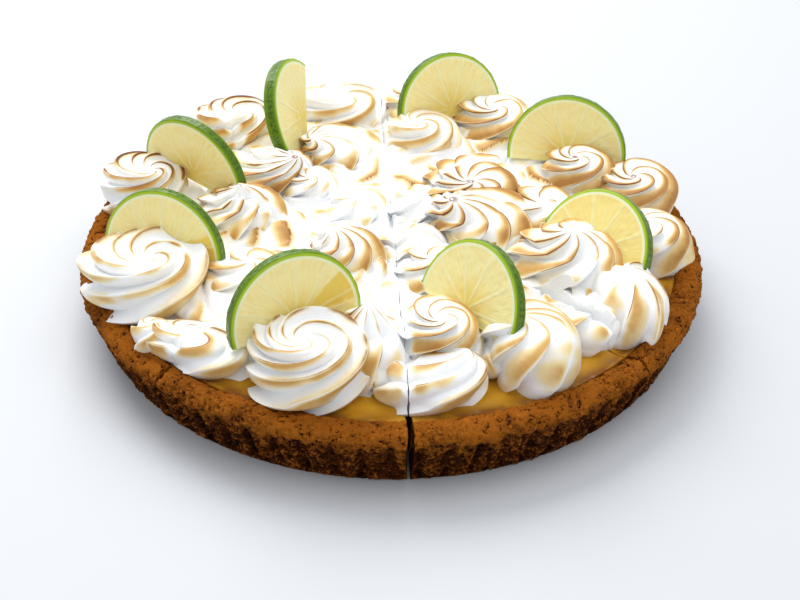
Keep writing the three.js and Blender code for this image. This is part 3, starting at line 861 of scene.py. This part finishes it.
class PieMeringueSettings(bpy.types.PropertyGroup):
    """Sizes and colours of the meringue."""
    ridge_points: IntProperty(name="Points on a ridge", description="Columns across one ridge",
                              default=22, min=6, max=40)
    rows: IntProperty(name="Rows", description="Rings from the tip to the foot of a rosette",
                      default=72, min=12, max=160)
    ridge_depth: FloatProperty(name="Ridge depth", description="Share of a rosette's radius",
                               default=0.15)
    lean: FloatProperty(name="Lean", description="How far the crests curl over", default=0.55)
    dip: FloatProperty(name="Dip", description="How far the surface sinks at a cut",
                       unit="LENGTH", default=0.0015)
    torn: FloatProperty(name="Torn", description="Depth of the torn surface at a cut",
                        unit="LENGTH", default=0.0003)
    white: colour_property("White", "Untoasted meringue", (0.91, 0.92, 0.93))
    cream: colour_property("Cream", "Meringue that just took colour", (0.86, 0.70, 0.38))
    tan: colour_property("Tan", "Lightly toasted meringue", (0.66, 0.39, 0.11))
    toasted: colour_property("Toasted", "Well toasted meringue", (0.44, 0.20, 0.04))
    burnt: colour_property("Burnt", "Crests that took the flame", (0.25, 0.085, 0.012))
    black: colour_property("Black", "Charred tips", (0.06, 0.022, 0.005))


class PieLimeSettings(bpy.types.PropertyGroup):
    """Colours of the lime wheels."""
    twist: FloatProperty(name="Twist", description="Turn of the segments from wheel to wheel",
                         unit="ROTATION", default=0.7)
    pulp: colour_property("Pulp", "Pulp", (0.84, 0.73, 0.29))
    pulp_pale: colour_property("Pale pulp", "Pale vesicles", (0.90, 0.83, 0.44))
    pulp_deep: colour_property("Deep pulp", "Pulp near the core", (0.80, 0.60, 0.08))
    pith: colour_property("Pith", "Pith ring", (0.80, 0.82, 0.56))
    rind_edge: colour_property("Rind edge", "Cut edge of the rind", (0.36, 0.50, 0.012))
    rind: colour_property("Rind", "Outside of the rind", (0.032, 0.080, 0.002))
    rind_light: colour_property("Light rind", "Paler spots of the rind", (0.115, 0.215, 0.003))


class PieStageSettings(bpy.types.PropertyGroup):
    """Where the camera stands and looks."""
    distance: FloatProperty(name="Distance", description="Camera's way in front of the middle",
                            unit="LENGTH", default=0.49337)
    height: FloatProperty(name="Height", description="Camera's height", unit="LENGTH", default=0.33938)
    down: FloatProperty(name="Down", description="How far the camera looks down", subtype="ANGLE",
                        default=math.radians(34.94))
    aside: FloatProperty(name="Aside", description="How far the camera looks right", subtype="ANGLE",
                         default=math.radians(0.434))
    roll: FloatProperty(name="Roll", description="Camera's roll", subtype="ANGLE",
                        default=math.radians(0.898))
    lens: FloatProperty(name="Lens", description="Focal length in millimetres", default=61.98)


# ---- operators

class PIE_OT_crust(bpy.types.Operator):
    """Bake the fluted crust, slice by slice"""
    bl_idname = "pie.crust"
    bl_label = "Bake the crust"

    def execute(self, context):
        settings = context.scene.pie_crust
        material = crust_material(settings)
        for slice_number in range(SLICES):
            build_crust(slice_number, settings, material)
        return {"FINISHED"}


class PIE_OT_filling(bpy.types.Operator):
    """Pour the lime curd, slice by slice"""
    bl_idname = "pie.filling"
    bl_label = "Pour the curd"

    def execute(self, context):
        material = curd_material(context.scene.pie_filling)
        for slice_number in range(SLICES):
            build_filling(slice_number, material)
        return {"FINISHED"}


class PIE_OT_meringue(bpy.types.Operator):
    """Pipe and toast the meringue, slice by slice"""
    bl_idname = "pie.meringue"
    bl_label = "Pipe the meringue"

    def execute(self, context):
        settings = context.scene.pie_meringue
        material = meringue_material(settings)
        for slice_number in range(SLICES):
            build_meringue(slice_number, settings, material)
        return {"FINISHED"}


class PIE_OT_limes(bpy.types.Operator):
    """Cut the lime wheels and set them in the meringue"""
    bl_idname = "pie.limes"
    bl_label = "Set the limes"

    def execute(self, context):
        settings = context.scene.pie_lime
        material = lime_material(settings)
        for slice_number in range(SLICES):
            build_lime(slice_number, settings, material)
        return {"FINISHED"}


class PIE_OT_stage(bpy.types.Operator):
    """Set the floor, the lights and the camera"""
    bl_idname = "pie.stage"
    bl_label = "Set the stage"

    def execute(self, context):
        settings = context.scene.pie_stage
        build_floor()
        build_lights()
        place_camera(settings)
        return {"FINISHED"}


def build_floor():
    """A wide pale floor."""
    size = 3000.0
    points = np.array([(-size, -size, 0), (size, -size, 0), (size, size, 0), (-size, size, 0)])
    floor = make_mesh("floor", points, [np.array([[0, 1, 2, 3]])])
    material = new_material("pale floor", {"Base Color": (0.61, 0.625, 0.65, 1), "Roughness": 0.6})[0]
    floor.data.materials.append(material)


def area_light(name, place, target, size, power, colour):
    """A soft square light at a place, looking at a target."""
    lamp = bpy.data.lights.new(name, "AREA")
    lamp.size, lamp.energy, lamp.color = size, power, colour
    made = bpy.data.objects.new(name, lamp)
    bpy.context.scene.collection.objects.link(made)
    made.location = place
    made.rotation_euler = (Vector(target) - Vector(place)).to_track_quat("-Z", "Y").to_euler()


def build_lights():
    """Soft daylight from above and behind, and a weak light overhead in a pale room."""
    area_light("window", (-0.35, 0.75, 0.95), (0, 0, 0.03), 0.9, 13, (1, 0.99, 0.97))
    area_light("ceiling", (0.25, -0.1, 1.2), (0, 0, 0.03), 1.0, 4.5, (1, 1, 1))
    world = bpy.data.worlds.new("white room")
    world.use_nodes = True
    sky = world.node_tree.nodes["Background"]
    sky.inputs["Color"].default_value = (0.93, 0.96, 1.0, 1)
    sky.inputs["Strength"].default_value = 0.78
    bpy.context.scene.world = world
    view = bpy.context.scene.view_settings
    view.view_transform = "Standard"
    view.look = "None"
    view.exposure = 0.0


def place_camera(settings):
    """The camera in front of the pie, turned aside, tipped down and rolled a little."""
    lens = bpy.data.cameras.new("camera")
    lens.lens, lens.sensor_width = settings.lens, 36.0
    lens.clip_start, lens.clip_end = 0.01, 20.0
    camera = bpy.data.objects.new("camera", lens)
    bpy.context.scene.collection.objects.link(camera)
    turn = Matrix.Rotation(-settings.aside, 4, "Z") @ Matrix.Rotation(math.pi / 2 - settings.down, 4, "X")
    turn = turn @ Matrix.Rotation(settings.roll, 4, "Z")
    camera.matrix_world = Matrix.Translation((0, -settings.distance, settings.height)) @ turn
    bpy.context.scene.camera = camera


class PIE_PT_panel(bpy.types.Panel):
    """Lists the steps of making the pie"""
    bl_label = "Key lime pie"
    bl_idname = "PIE_PT_panel"
    bl_space_type = "VIEW_3D"
    bl_region_type = "UI"
    bl_category = "Pie"

    def draw(self, context):
        for step in STEPS:
            self.layout.operator(step.bl_idname)
        for group in SETTINGS:
            box = self.layout.box()
            for name in SETTINGS[group].__annotations__:
                box.prop(getattr(context.scene, group), name)


STEPS = [PIE_OT_crust, PIE_OT_filling, PIE_OT_meringue, PIE_OT_limes, PIE_OT_stage]
SETTINGS = {
    "pie_crust": PieCrustSettings,
    "pie_filling": PieFillingSettings,
    "pie_meringue": PieMeringueSettings,
    "pie_lime": PieLimeSettings,
    "pie_stage": PieStageSettings,
}


def register():
    for group, kind in SETTINGS.items():
        bpy.utils.register_class(kind)
        setattr(bpy.types.Scene, group, PointerProperty(type=kind))
    for kind in STEPS + [PIE_PT_panel]:
        bpy.utils.register_class(kind)


def unregister():
    for kind in reversed(STEPS + [PIE_PT_panel]):
        bpy.utils.unregister_class(kind)
    for group, kind in SETTINGS.items():
        delattr(bpy.types.Scene, group)
        bpy.utils.unregister_class(kind)


def main():
    register()
    bpy.ops.pie.crust()
    bpy.ops.pie.filling()
    bpy.ops.pie.meringue()
    bpy.ops.pie.limes()
    bpy.ops.pie.stage()


if __name__ == "__main__":
    main()
